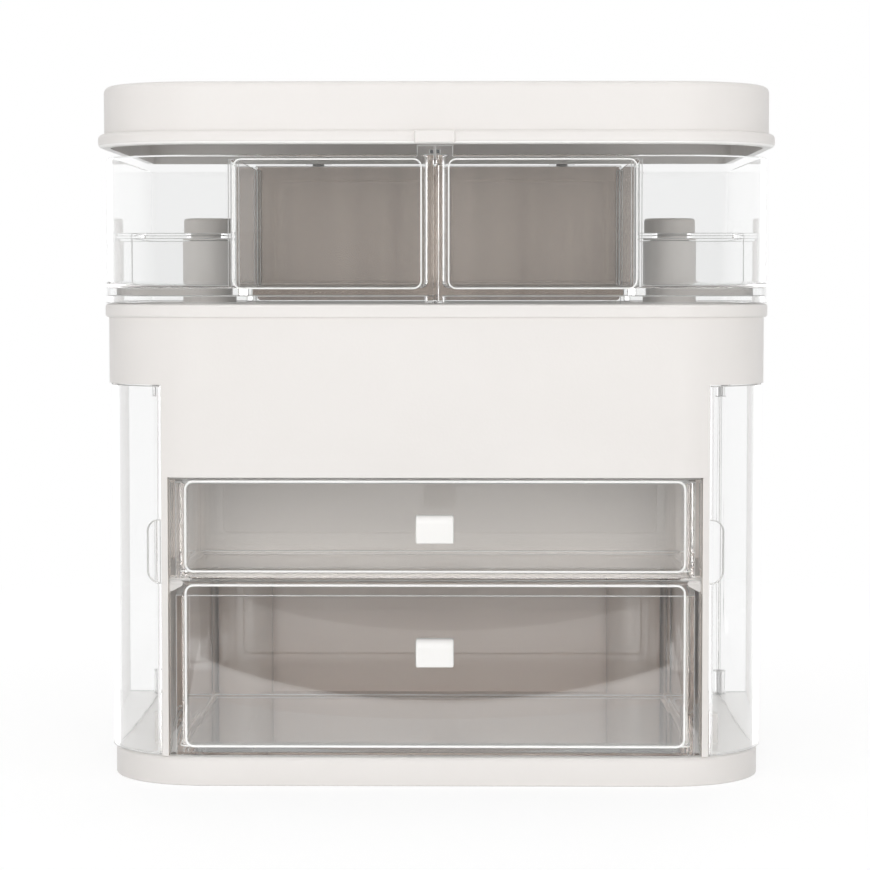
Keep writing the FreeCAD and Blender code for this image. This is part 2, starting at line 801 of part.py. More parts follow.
def make_wing_tray(side, sign):
    body = new_body(f"wing_tray_{side}")
    outer = wing_corners(sign, zero, s.wing_tail_radius, s.rear_corner_radius, s.wing_seam_radius)
    pad(body, "block", [outer], wing_bottom, wing_top)
    inner_tail = s.wing_tail_radius - s.clear_wall
    inner = wing_corners(sign, s.clear_wall, inner_tail, s.wing_inner_radius, s.wing_inner_radius)
    pocket(body, "cavity", [inner], wing_floor, wing_top)
    fillet(body, "floor_round", s.wing_floor_round, at_level(wing_floor))
    fillet(body, "rim_round", s.rim_round, at_level(wing_top))
    pocket(body, "underside", [inner], wing_bottom, wing_floor_under)

    # Raised step over the pivot post, open below
    step_front = pivot_y - s.step_length
    far = pivot_y + s.wing_tail - s.clear_wall
    arm = tower_half + s.wing_side_gap + s.clear_wall
    wide = half_x + s.side_flare + s.wing_proud - s.clear_wall
    bite = s.clear_wall / 2
    step = [
        ((arm - s.clear_wall) * sign, step_front),
        ((wide + bite) * sign, step_front),
        ((wide + bite) * sign, far + bite, s.wing_inner_radius),
        ((arm - bite) * sign, far + bite, inner_tail + bite),
        ((arm - bite) * sign, far - s.wing_tail),
        ((arm - s.clear_wall) * sign, far - s.wing_tail),
    ]
    pad(body, "step", [step], wing_floor_under, step_top)
    space = [
        (arm * sign, step_front + s.clear_wall),
        (wide * sign, step_front + s.clear_wall),
        (wide * sign, far, s.wing_inner_radius),
        (arm * sign, far, inner_tail),
    ]
    pocket(body, "step_space", [space], wing_bottom, step_top - s.step_deck)
    hole = circle(s.pivot_place * sign, pivot_y, s.neck_radius + s.run_clearance)
    pocket(body, "neck_hole", [hole], step_top - s.step_deck, step_top)

    # Raised tab at the seam, with a hole for its magnet
    near = front - s.wing_proud
    tab = rectangle(s.seam_gap * sign, (s.seam_gap + s.tab_width) * sign, near, near + s.clear_wall)
    tab_top = wing_top + s.tab_height - s.run_clearance
    pad(body, "tab", [tab], wing_top - s.cut_overrun, tab_top)
    bore = circle(near + s.clear_wall / 2, tab_top - s.magnet_drop, s.magnet_radius + s.press_clearance)
    span = sorted((s.seam_gap * sign, (s.seam_gap + s.magnet_length) * sign), key=lambda x: x.value)
    pocket(body, "magnet_hole", [bore], *span, "YZ_Plane")

    # Ribs that hold the divider at both ends
    back = tower_front - s.mirror_thickness - s.wing_back_gap - s.clear_wall
    grip = s.divider_thickness / 2 + s.slot_gap
    ribs = []
    front_span = (near + bite, near + s.clear_wall + s.slot_rib_depth)
    rear_span = (back - s.slot_rib_depth, back + bite)
    for start, end in (front_span, rear_span):
        low = s.divider_place - grip - s.slot_rib_width
        ribs.append(rectangle(low * sign, (low + s.slot_rib_width) * sign, start, end))
        high = s.divider_place + grip
        ribs.append(rectangle(high * sign, (high + s.slot_rib_width) * sign, start, end))
    pad(body, "slot_ribs", ribs, wing_floor_under, wing_top - s.divider_drop)


def make_wing_divider(side, sign):
    body = new_body(f"wing_divider_{side}")
    low = wing_floor + s.slot_gap
    high = wing_top - s.divider_drop
    near = front - s.wing_proud + s.clear_wall + s.slot_gap
    far = tower_front - s.mirror_thickness - s.wing_back_gap - s.clear_wall - s.slot_gap
    c = s.divider_corner
    outline = [
        (near + c, low),
        (far - c, low),
        (far, low + c),
        (far, high),
        (near, high),
        (near, low + c),
    ]
    start = s.divider_place - s.divider_thickness / 2
    end = s.divider_place + s.divider_thickness / 2
    span = sorted((start * sign, end * sign), key=lambda x: x.value)
    pad(body, "plate", [outline], *span, "YZ_Plane")


def make_catch_magnet(side, sign):
    y = front - s.wing_proud + s.clear_wall / 2
    z = wing_top + s.tab_height - s.run_clearance - s.magnet_drop
    span = sorted((s.seam_gap * sign, (s.seam_gap + s.magnet_length) * sign), key=lambda x: x.value)
    cross_cylinder(f"catch_magnet_{side}", s.magnet_radius, *span, y, z)


def make_pivot(side, sign):
    x = s.pivot_place * sign
    deck = step_top - s.step_deck - s.run_clearance
    seat = step_top + s.run_clearance
    post = new_body(f"pivot_post_{side}")
    pad(post, "post", [circle(x, pivot_y, s.post_radius)], deck_top, deck)
    pad(post, "neck", [circle(x, pivot_y, s.neck_radius)], deck, seat)
    screw_hole = circle(x, pivot_y, s.screw_radius + s.press_clearance)
    pocket(post, "screw_hole", [screw_hole], seat - s.screw_reach, seat)
    cap = new_body(f"pivot_cap_{side}")
    pad(cap, "disc", [circle(x, pivot_y, s.cap_radius)], seat, seat + s.cap_height)
    fillet(cap, "top_round", s.cap_round, at_level(seat + s.cap_height))
    recess = circle(x, pivot_y, s.screw_head_radius + s.run_clearance)
    pocket(cap, "recess", [recess], seat + s.cap_height - s.cap_recess, seat + s.cap_height)
    pocket(cap, "screw_hole", [screw_hole], seat, seat + s.cap_height - s.cap_recess)
    tip = seat - s.screw_reach
    return screw(f"pivot_cap_screw_{side}", x, pivot_y, seat + s.cap_height - s.cap_recess, tip, 1)


# Lid and its hinges

def hinge_span(sign, half_width):
    middle = s.hinge_place * sign
    return middle - half_width, middle + half_width


def make_lid_shell():
    body = new_body("lid_shell")
    pad(body, "block", [plan(s.lid_proud)], lid_bottom, lid_top)
    fillet(body, "top_round", s.lid_top_round, at_level(lid_top))
    pad(body, "lip", [plan(s.lid_proud + s.lip_proud)], lid_bottom, lip_top)

    def on_lip(box):
        outer_x = max(abs(box.XMin), abs(box.XMax)) > (half_x + s.side_flare + s.lid_proud).value + SAME
        outer_y = max(abs(box.YMin), abs(box.YMax)) > (half_y + s.lid_proud).value + SAME
        return at_level(lid_bottom, lip_top)(box) and (outer_x or outer_y)

    fillet(body, "lip_round", s.lip_round.at_most(s.lip_proud * ROUND_SHARE), on_lip)
    lip_front = front - s.lid_proud - s.lip_proud
    half = s.thumb_width / 2
    thumb = [
        (-half, lip_front - s.thumb_proud, s.thumb_round),
        (half, lip_front - s.thumb_proud, s.thumb_round),
        (half, lip_front + s.lip_proud),
        (-half, lip_front + s.lip_proud),
    ]
    pad(body, "thumb_tab", [thumb], lid_bottom + s.thumb_margin, lip_top - s.thumb_margin)
    pocket(body, "hollow", [plan(s.lid_proud, s.shell_wall)], lid_bottom, lid_top - s.lid_roof)
    half_hinge = s.knuckle_width / 2 + s.hinge_side_gap + s.ear_width + s.notch_gap
    notches = []
    for sign in SIDES.values():
        low, high = hinge_span(sign, half_hinge)
        notches.append(rectangle(low, high, rear + s.lid_proud, hinge_y + s.knuckle_radius))
    pocket(body, "hinge_notches", notches, lid_bottom, lip_top)


def make_hinge(side, sign):
    half_knuckle = s.knuckle_width / 2
    low, high = hinge_span(sign, half_knuckle)
    plate_back = back_inner + s.bracket_thickness
    neck_low = hinge_z - s.bracket_neck
    profile = [
        (back_inner, tower_top - s.bracket_foot),
        (plate_back, tower_top - s.bracket_foot),
        (plate_back, neck_low),
        (hinge_y + s.knuckle_radius, hinge_z - s.knuckle_radius),
        (hinge_y + s.knuckle_radius, hinge_z),
        (hinge_y - s.knuckle_radius, hinge_z),
        (hinge_y - s.knuckle_radius, hinge_z - s.knuckle_radius),
        (back_inner, neck_low),
    ]
    bracket = new_body(f"hinge_bracket_{side}")
    pad(bracket, "arm", [profile], low, high, "YZ_Plane")
    pad(bracket, "knuckle", [circle(hinge_y, hinge_z, s.knuckle_radius)], low, high, "YZ_Plane")
    tight = circle(hinge_y, hinge_z, s.hinge_pin_radius + s.press_clearance)
    pocket(bracket, "pin_hole", [tight], low, high, "YZ_Plane")

    half_leaf = half_knuckle + s.hinge_side_gap + s.ear_width
    leaf = new_body(f"lid_leaf_{side}")
    wall = rear + s.lid_proud
    plate_low = hinge_z + s.knuckle_radius + s.run_clearance
    plate = rectangle(wall, wall + s.leaf_thickness, plate_low, plate_low + s.leaf_height)
    low, high = hinge_span(sign, half_leaf)
    pad(leaf, "plate", [plate], low, high, "YZ_Plane")
    ear = [
        (wall, hinge_z),
        (hinge_y + s.knuckle_radius, hinge_z),
        (wall + s.leaf_thickness, plate_low + s.leaf_height),
        (wall, plate_low + s.leaf_height),
    ]
    loose = circle(hinge_y, hinge_z, s.hinge_pin_radius + s.run_clearance)
    knuckle = circle(hinge_y, hinge_z, s.knuckle_radius)
    for place, ear_low in {"first": low, "second": high - s.ear_width}.items():
        span = (ear_low, ear_low + s.ear_width)
        pad(leaf, f"{place}_ear", [ear], *span, "YZ_Plane")
        pad(leaf, f"{place}_knuckle", [knuckle], *span, "YZ_Plane")
        pocket(leaf, f"{place}_hole", [loose], *span, "YZ_Plane")
    cross_cylinder(f"lid_hinge_pin_{side}", s.hinge_pin_radius, low, high, hinge_y, hinge_z)


# Side doors

def make_side_door(side, sign):
    body = new_body(f"side_door_{side}")
    edge = stile_outer + s.door_edge_gap
    wall = s.clear_wall
    start = door_half - s.front_corner_radius - s.cut_overrun
    outline = [
        (start * sign, front),
        (door_half * sign, front, s.front_corner_radius),
        (door_half * sign, door_axis_y),
        ((door_half - wall) * sign, door_axis_y),
        ((door_half - wall) * sign, front + wall, s.front_corner_radius - wall),
        (start * sign, front + wall),
    ]
    pad(body, "panel", [outline], door_bottom, door_top)
    near = front - s.cut_overrun
    far = front + s.front_corner_radius
    past = rectangle((start - s.cut_overrun) * sign, edge * sign, near, far)
    pocket(body, "front_edge", [past], door_bottom, door_top)

    def on_edge(box):
        upright = box.ZMax - box.ZMin > SAME
        return upright and max(abs(box.XMin), abs(box.XMax)) < edge.value + SAME

    fillet(body, "edge_round", s.door_edge_round, on_edge)
    grip_middle = door_top - s.grip_drop
    grip_low = grip_middle - s.grip_height / 2
    grip_high = grip_middle + s.grip_height / 2
    grip = [
        ((edge - s.cut_overrun) * sign, grip_low),
        ((edge + s.grip_depth) * sign, grip_low, s.grip_radius),
        ((edge + s.grip_depth) * sign, grip_high, s.grip_radius),
        ((edge - s.cut_overrun) * sign, grip_high),
    ]
    pocket(body, "grip", [grip], -far, -near, "XZ_Plane")
    x = door_axis_x * sign
    barrel = circle(x, door_axis_y, s.barrel_radius)
    bore = circle(x, door_axis_y, s.door_pin_radius + s.run_clearance)
    foot = (door_bottom, door_bottom + s.barrel_height)
    head = (door_top - s.barrel_height, door_top)
    for end, span in {"foot": foot, "head": head}.items():
        pad(body, f"{end}_barrel", [barrel], *span)
        pocket(body, f"{end}_bore", [bore], *span)


def make_door_pins(side, sign):
    x = door_axis_x * sign
    foot = cylinder(f"door_pin_foot_{side}", s.door_pin_radius, x, door_axis_y,
                    base_top - s.base_deck, door_bottom + s.barrel_height)
    head = cylinder(f"door_pin_head_{side}", s.door_pin_radius, x, door_axis_y,
                    door_top - s.barrel_height, deck_top)
    group(f"door_pins_{side}", [foot, head])


make_base_shell()
make_bottom_cover()
make_base_screws()
make_lower_frame()
make_drawers()
make_upper_housing()
make_tower_bin()
make_mirror_plate()
make_lid_shell()
cap_screws = []
for side, sign in SIDES.items():
    make_side_back(side, sign)
    make_drawer_runner(side, sign)
    make_wing_tray(side, sign)
    make_wing_divider(side, sign)
    make_catch_magnet(side, sign)
    cap_screws.append(make_pivot(side, sign))
    make_hinge(side, sign)
    make_side_door(side, sign)
    make_door_pins(side, sign)
group("pivot_cap_screws", cap_screws)
doc.recompute()

# Nothing is written unless every object is sound.
for item in doc.Objects:
    if "Invalid" in item.State or "Error" in item.State:
        raise RuntimeError(f"{item.Name} failed: {item.State}")
for piece in pieces:
    if piece.Shape.isNull() or not piece.Shape.isValid() or not piece.Shape.Solids:
        raise RuntimeError(f"{piece.Label} has no sound shape")

os.makedirs("parts", exist_ok=True)
for piece in pieces:
    piece.Shape.exportStep(f"parts/{piece.Label}.step")
print(f"{len(pieces)} pieces")
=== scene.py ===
import math

import bmesh
import bpy
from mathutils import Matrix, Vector


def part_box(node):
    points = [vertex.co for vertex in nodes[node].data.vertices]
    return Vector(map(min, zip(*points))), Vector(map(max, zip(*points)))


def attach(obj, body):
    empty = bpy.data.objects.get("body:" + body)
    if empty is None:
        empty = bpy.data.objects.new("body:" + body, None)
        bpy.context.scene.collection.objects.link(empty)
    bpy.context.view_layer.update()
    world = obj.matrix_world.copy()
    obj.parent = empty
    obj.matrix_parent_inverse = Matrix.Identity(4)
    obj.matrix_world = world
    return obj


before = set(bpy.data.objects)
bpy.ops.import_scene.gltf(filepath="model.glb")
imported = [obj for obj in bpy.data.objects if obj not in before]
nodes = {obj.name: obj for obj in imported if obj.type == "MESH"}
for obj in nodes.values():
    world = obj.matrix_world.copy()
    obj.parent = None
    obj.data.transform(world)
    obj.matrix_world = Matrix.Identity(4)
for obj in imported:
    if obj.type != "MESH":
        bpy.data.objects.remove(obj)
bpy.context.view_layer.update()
scene = bpy.context.scene
scene.view_settings.view_transform = "Standard"
SIDES = ("left", "right")
MM = 0.001


# Node trees

def feed(tree, socket, value):
    """Links an output to an input, or sets the input to a plain value."""
    if isinstance(value, bpy.types.NodeSocket):
        tree.links.new(value, socket)
    else:
        socket.default_value = value


def add_node(tree, kind, inputs=None, **settings):
    """A node with its properties set, and its inputs fed by name or number."""
    made = tree.nodes.new(kind)
    for name, value in settings.items():
        setattr(made, name, value)
    for name, value in (inputs or {}).items():
        feed(tree, made.inputs[name], value)
    return made


def new_group(name, kind, inputs, outputs):
    """An empty node group with its sockets, and the nodes at its two ends."""
    group = bpy.data.node_groups.new(name, kind)
    for label, socket, *value in inputs:
        made = group.interface.new_socket(label, in_out="INPUT", socket_type=f"NodeSocket{socket}")
        if value:
            made.default_value = value[0]
    for label, socket in outputs:
        group.interface.new_socket(label, in_out="OUTPUT", socket_type=f"NodeSocket{socket}")
    return group, group.nodes.new("NodeGroupInput"), group.nodes.new("NodeGroupOutput")


def calc(tree, operation, *values):
    """The result of a Math node on sockets or plain numbers."""
    made = add_node(tree, "ShaderNodeMath", inputs=dict(enumerate(values)), operation=operation)
    return made.outputs["Value"]


def vector_calc(tree, operation, *values):
    """The result of a Vector Math node: a number for a length or distance, else a vector."""
    made = add_node(tree, "ShaderNodeVectorMath", inputs=dict(enumerate(values)), operation=operation)
    return made.outputs["Value" if operation in ("LENGTH", "DISTANCE") else "Vector"]


def all_of(tree, first, *others):
    """1 where every mask is 1."""
    for mask in others:
        first = calc(tree, "MULTIPLY", first, mask)
    return first


def any_of(tree, first, *others):
    """1 where one of the masks is 1."""
    for mask in others:
        first = calc(tree, "MAXIMUM", first, mask)
    return first


def map_range(tree, value, low, high, start=0.0, end=1.0):
    """Turns a value that runs from start to end into one that runs from low to high."""
    made = add_node(tree, "ShaderNodeMapRange", inputs={
        "Value": value, "From Min": start, "From Max": end, "To Min": low, "To Max": high})
    return made.outputs["Result"]


def noise(tree, place, scale, detail, roughness=0.5):
    made = add_node(tree, "ShaderNodeTexNoise", inputs={
        "Vector": place, "Scale": scale, "Detail": detail, "Roughness": roughness})
    return made.outputs["Fac"]


def blend_tone(tree, mask, outer, inner):
    """Two tones, each a colour or a socket, mixed by a mask."""
    tones = [tone if isinstance(tone, bpy.types.NodeSocket) else (*tone, 1) for tone in (outer, inner)]
    mix = add_node(tree, "ShaderNodeMix", data_type="RGBA", inputs={"Factor": mask, 6: tones[0], 7: tones[1]})
    return mix.outputs[2]


def mix_shaders(tree, mask, first, second):
    return add_node(tree, "ShaderNodeMixShader", inputs={0: mask, 1: first, 2: second}).outputs["Shader"]


def object_place(tree):
    return add_node(tree, "ShaderNodeTexCoord").outputs["Object"]


def split(tree, vector):
    """The X, Y and Z of a vector."""
    return add_node(tree, "ShaderNodeSeparateXYZ", inputs={"Vector": vector}).outputs


# Finishes

# Each moulded finish has a tint and the deeper tone that mottles it.
TONES = ("Tint", "Deep")
GLOSS = ("Gloss Low", "Gloss High")
WHITE_TONES = (0.755, 0.728, 0.705), (0.735, 0.708, 0.684)
# Inside, the drawer bay is painted paler and warmer than the white, as painted bounce light, and a dark taupe
# below the top drawer, as painted shade.
BAY_PAINTED_LIGHT_TONES = (0.95, 0.885, 0.83), (0.92, 0.855, 0.80)
TAUPE_PAINTED_SHADE_TONES = (0.75, 0.635, 0.555), (0.705, 0.59, 0.513)
# White beads inside the clear walls: painted highlights for the glint of the clear edges.
GLINT_BEAD_TONES = (0.93, 0.925, 0.91), (0.9, 0.895, 0.88)
PULL_TONES = (0.88, 0.87, 0.855), (0.84, 0.83, 0.81)
# Grey lines along the clear edges: painted shade for how those edges bend light.
EDGE_SHADE_TONES = (0.57, 0.565, 0.555), (0.52, 0.515, 0.505)
# The pivot posts are white plastic; their tone is set a little paler than the other white, as painted light for
# the shade they stand in.
POST_PAINTED_LIGHT_TONES = (0.79, 0.755, 0.722), (0.745, 0.71, 0.676)
# The pivot caps are white plastic; their grey tone is painted shade.
CAP_PAINTED_SHADE_TONES = (0.65, 0.617, 0.585), (0.605, 0.573, 0.54)
# A paler tone for faces that look down and for the base's top: painted light on faces in shade.
PALE_PAINTED_LIGHT = (0.94, 0.93, 0.91)
# Dark and light ends of the smoked mirror's tint; the upright streaks between them are painted reflection.
FILM_DARK, FILM_LIGHT = (0.48, 0.4, 0.34, 1), (0.7, 0.595, 0.515, 1)

# Roughness of the satin mouldings and of the glossier drawer bay
SATIN = (0.3, 0.42)
BAY_GLOSS = (0.14, 0.22)
PLASTIC_BEND = 1.5
# Sizes of the mottling, the uneven gloss, the orange-peel skin, the scratches and the wiped patches
MOTTLE, SMEAR, PEEL_GRAIN, SCRATCH, WIPE = 14.0, 60.0, 900.0, 90.0, 11.0
PEEL_DEPTH = 0.4 * MM

# The thin walls hardly bend what is behind them; their gloss is a clear coat of its own.
CLEAR_BEND = 1.3
CLEAR_COAT_ROUGHNESS = 0.02
# What one clear face lets through to a surface that it shades
CLEAR_SHADE = (0.985, 0.986, 0.986, 1)
# Light that has bent this often inside a clear wall leaves it straight, as the bright edges of real ones show.
TRAPPED_DEPTH = 4.5

# Half width of the drawer bay, the inner face of its back, and how much further in its painted taupe shade
# starts, so that its side walls keep the paler painted light
BAY_HALF, BAY_BACK, BAY_RIM = 121.8 * MM, 102.2 * MM, 1.3 * MM
BASE_TOP = 13.3 * MM
SKIN = 0.1 * MM
# Centre, radius and soft edge of the taupe round on the base: painted shade on the floor behind the drawer front
ROUND_CENTRE, ROUND_RADIUS, ROUND_EDGE = (0.0, 135.7 * MM, 0.0), 137.7 * MM, 4 * MM
# Faces whose normal drops below this look down.
LOOKS_DOWN = -0.5


def moulded_grain():
    """Faint mottling of the colour, uneven gloss and a fine orange-peel skin, as on moulded plastic."""
    group, given, result = new_group(
        "moulded_grain", "ShaderNodeTree",
        [("Tint", "Color", (0.8, 0.8, 0.8, 1)), ("Deep", "Color", (0.7, 0.7, 0.7, 1)),
         ("Gloss Low", "Float", SATIN[0]), ("Gloss High", "Float", SATIN[1]), ("Peel", "Float", 0.1)],
        [("Color", "Color"), ("Roughness", "Float"), ("Normal", "Vector")])
    given, place = given.outputs, object_place(group)
    mottled = map_range(group, noise(group, place, MOTTLE, 4.0), 0.0, 1.0, start=0.35, end=0.75)
    feed(group, result.inputs["Color"], blend_tone(group, mottled, given["Tint"], given["Deep"]))
    gloss = map_range(group, noise(group, place, SMEAR, 3.0), given["Gloss Low"], given["Gloss High"], 0.3, 0.7)
    feed(group, result.inputs["Roughness"], gloss)
    skin = add_node(group, "ShaderNodeBump", inputs={
        "Strength": given["Peel"], "Distance": PEEL_DEPTH, "Height": noise(group, place, PEEL_GRAIN, 2.0)})
    feed(group, result.inputs["Normal"], skin.outputs["Normal"])
    return group


def hairline_scratches():
    """A roughness that rises along fine scratches and in faint wiped patches."""
    group, given, result = new_group(
        "hairline_scratches", "ShaderNodeTree",
        [("Clean", "Float", 0.02), ("Scratched", "Float", 0.2),
         ("Stretch", "Vector", (1.0, 1.0, 1.0)), ("Amount", "Float", 0.5)],
        [("Roughness", "Float"), ("Mask", "Float")])
    given, place = given.outputs, object_place(group)
    lines = noise(group, vector_calc(group, "MULTIPLY", place, given["Stretch"]), SCRATCH, 6.0, roughness=0.7)
    thin = map_range(group, lines, 0.0, 1.0, start=0.6, end=0.78)
    share = all_of(group, thin, noise(group, place, WIPE, 2.0), given["Amount"])
    feed(group, result.inputs["Roughness"], map_range(group, share, given["Clean"], given["Scratched"]))
    feed(group, result.inputs["Mask"], share)
    return group


GRAIN = moulded_grain()
SCRATCHES = hairline_scratches()


def new_material(name):
    """A material with its Principled shader and output, ready to link."""
    material = bpy.data.materials.new(name)
    material.use_nodes = True
    tree = material.node_tree
    tree.nodes.clear()
    shader = tree.nodes.new("ShaderNodeBsdfPrincipled")
    output = tree.nodes.new("ShaderNodeOutputMaterial")
    tree.links.new(shader.outputs["BSDF"], output.inputs["Surface"])
    return material, tree, shader, output


def worn(tree, clean, scratched, stretch, amount):
    """Places the scratches in a material with its own values."""
    return add_node(tree, "ShaderNodeGroup", node_tree=SCRATCHES, inputs={
        "Clean": clean, "Scratched": scratched, "Stretch": stretch, "Amount": amount}).outputs


def moulded_plastic(name, tones, gloss=SATIN, peel=0.1):
    material, tree, shader, _ = new_material(name)
    grain = add_node(tree, "ShaderNodeGroup", node_tree=GRAIN, inputs={
        "Tint": (*tones[0], 1), "Deep": (*tones[1], 1),
        "Gloss Low": gloss[0], "Gloss High": gloss[1], "Peel": peel})
    for made, socket in (("Color", "Base Color"), ("Roughness", "Roughness"), ("Normal", "Normal")):
        tree.links.new(grain.outputs[made], shader.inputs[socket])
    shader.inputs["IOR"].default_value = PLASTIC_BEND
    return material


def grain_of(material):
    """A moulded plastic's tree, and the inputs of its grain."""
    tree = material.node_tree
    return tree, next(node for node in tree.nodes if node.type == "GROUP").inputs


def drawer_bay(tree, place):
    """1 inside the drawer bay, with the distance from the middle and the height."""
    x, y, z = split(tree, place)
    across = calc(tree, "ABSOLUTE", x)
    inside = all_of(tree, calc(tree, "LESS_THAN", across, BAY_HALF), calc(tree, "LESS_THAN", y, BAY_BACK))
    return inside, across, z


def frame_plastic():
    """The white moulding; inside the drawer bay it is glossier, painted paler and warmer as painted bounce light,
    and painted taupe below the top drawer as painted shade.
    """
    material = moulded_plastic("frame_moulding", WHITE_TONES)
    tree, grain = grain_of(material)
    inside, across, z = drawer_bay(tree, object_place(tree))
    below = all_of(tree, inside, calc(tree, "LESS_THAN", z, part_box("top_drawer")[0].z),
                   calc(tree, "LESS_THAN", across, BAY_HALF - BAY_RIM))
    for socket, outer, upper, lower in zip(TONES, WHITE_TONES, BAY_PAINTED_LIGHT_TONES, TAUPE_PAINTED_SHADE_TONES):
        feed(tree, grain[socket], blend_tone(tree, below, blend_tone(tree, inside, outer, upper), lower))
    for socket, dull, glossy in zip(GLOSS, SATIN, BAY_GLOSS):
        feed(tree, grain[socket], map_range(tree, inside, dull, glossy))
    return material


def lid_plastic():
    """The white lid, painted paler on the faces that look down into the box: painted light on its shaded
    underside.
    """
    material = moulded_plastic("lid_moulding", WHITE_TONES)
    tree, grain = grain_of(material)
    _, _, up = split(tree, add_node(tree, "ShaderNodeTexCoord").outputs["Normal"])
    inside = calc(tree, "LESS_THAN", up, LOOKS_DOWN)
    for socket, outer in zip(TONES, WHITE_TONES):
        feed(tree, grain[socket], blend_tone(tree, inside, outer, PALE_PAINTED_LIGHT))
    return material


def base_plastic():
    """The white base, with its top painted paler as painted light, and a taupe round of painted shade behind the
    front part of the drawer floor.
    """
    material = moulded_plastic("base_moulding", WHITE_TONES)
    tree, grain = grain_of(material)
    place = object_place(tree)
    inside, _, z = drawer_bay(tree, place)
    reach = vector_calc(tree, "DISTANCE", vector_calc(tree, "MULTIPLY", place, (1, 1, 0)), ROUND_CENTRE)
    upper = calc(tree, "GREATER_THAN", z, BASE_TOP - SKIN)
    dark = all_of(tree, inside, upper, map_range(tree, reach, 1.0, 0.0, ROUND_RADIUS, ROUND_RADIUS + ROUND_EDGE))
    for socket, outer, inner in zip(TONES, WHITE_TONES, TAUPE_PAINTED_SHADE_TONES):
        floor = blend_tone(tree, upper, outer, PALE_PAINTED_LIGHT)
        feed(tree, grain[socket], blend_tone(tree, dark, floor, inner))
    return material


def clear_plastic(name, tint, scratched):
    """Clear styrene: light from lamps passes straight through, and the eye sees it bend."""
    material, tree, shader, output = new_material(name)
    shader.inputs["Base Color"].default_value = (*tint, 1)
    shader.inputs["Transmission Weight"].default_value = 1.0
    shader.inputs["IOR"].default_value = CLEAR_BEND
    shader.inputs["Coat Weight"].default_value = 1.0
    shader.inputs["Coat Roughness"].default_value = CLEAR_COAT_ROUGHNESS
    wear = worn(tree, 0.012, scratched, stretch=(1.0, 1.0, 6.0), amount=0.5)
    tree.links.new(wear["Roughness"], shader.inputs["Roughness"])
    path = tree.nodes.new("ShaderNodeLightPath").outputs
    passes = any_of(tree, path["Is Shadow Ray"], path["Is Diffuse Ray"],
                    calc(tree, "GREATER_THAN", path["Ray Depth"], TRAPPED_DEPTH))
    through = add_node(tree, "ShaderNodeBsdfTransparent", inputs={"Color": CLEAR_SHADE})
    mixed = mix_shaders(tree, passes, shader.outputs["BSDF"], through.outputs["BSDF"])
    tree.links.new(mixed, output.inputs["Surface"])
    return material


def taupe_mirror():
    """Smoked mirror film, a little blur and fine wiping marks; its upright light and dark streaks are painted
    reflection.
    """
    material, tree, shader, _ = new_material("taupe_mirror")
    stretched_place = add_node(tree, "ShaderNodeMapping", inputs={"Vector": object_place(tree), "Scale": (1.0, 1.0, 0.06)})
    streaks = noise(tree, stretched_place.outputs["Vector"], 34.0, 3.0, roughness=0.55)
    ramp = add_node(tree, "ShaderNodeValToRGB", inputs={"Fac": streaks})
    for stop, position, tone in zip(ramp.color_ramp.elements, (0.32, 0.68), (FILM_DARK, FILM_LIGHT)):
        stop.position = position
        stop.color = tone
    tree.links.new(ramp.outputs["Color"], shader.inputs["Base Color"])
    wear = worn(tree, 0.2, 0.42, stretch=(1.0, 1.0, 0.2), amount=0.8)
    tree.links.new(wear["Roughness"], shader.inputs["Roughness"])
    shader.inputs["Metallic"].default_value = 0.75
    return material


def drawn_metal(name, tint, clean, scratched, stretch):
    """Metal that is darker and duller along its scratches."""
    material, tree, shader, _ = new_material(name)
    wear = worn(tree, clean, scratched, stretch, amount=1.0)
    feed(tree, shader.inputs["Base Color"], blend_tone(tree, wear["Mask"], tint, [0.7 * c for c in tint]))
    tree.links.new(wear["Roughness"], shader.inputs["Roughness"])
    shader.inputs["Metallic"].default_value = 1.0
    return material


WHITE = moulded_plastic("white_moulding", WHITE_TONES)
FRAME_WHITE = frame_plastic()
BASE_WHITE = base_plastic()
LID_WHITE = lid_plastic()
GLINT_BEAD_WHITE = moulded_plastic("painted_glint_bead", GLINT_BEAD_TONES, gloss=(0.3, 0.45), peel=0.05)
PULL_WHITE = moulded_plastic("bright_pull", PULL_TONES, gloss=(0.16, 0.26), peel=0.06)
EDGE_PAINTED_SHADE = moulded_plastic("painted_edge_shade", EDGE_SHADE_TONES, gloss=(0.2, 0.35), peel=0.05)
POST_PAINTED_LIGHT = moulded_plastic("post_white_painted_light", POST_PAINTED_LIGHT_TONES, gloss=(0.34, 0.46))
CAP_PAINTED_SHADE = moulded_plastic("cap_white_painted_shade", CAP_PAINTED_SHADE_TONES, gloss=(0.34, 0.46))
CLEAR = clear_plastic("clear_styrene", (0.988, 0.99, 0.989), scratched=0.16)
DOOR_CLEAR = clear_plastic("clear_door", (0.985, 0.986, 0.986), scratched=0.12)
MIRROR = taupe_mirror()
STEEL = drawn_metal("pin_steel", (0.62, 0.62, 0.63), 0.22, 0.45, stretch=(1.0, 6.0, 6.0))
MAGNET = drawn_metal("magnet_plating", (0.2, 0.2, 0.21), 0.18, 0.4, stretch=(1.0, 1.0, 1.0))


def both(*names):
    """The left and right node of each name."""
    return [f"{name}_{side}" for name in names for side in SIDES]


def finish_node(name, material):
    slots = nodes[name].material_slots
    for slot in slots:
        slot.material = material
    if not slots:
        nodes[name].data.materials.append(material)


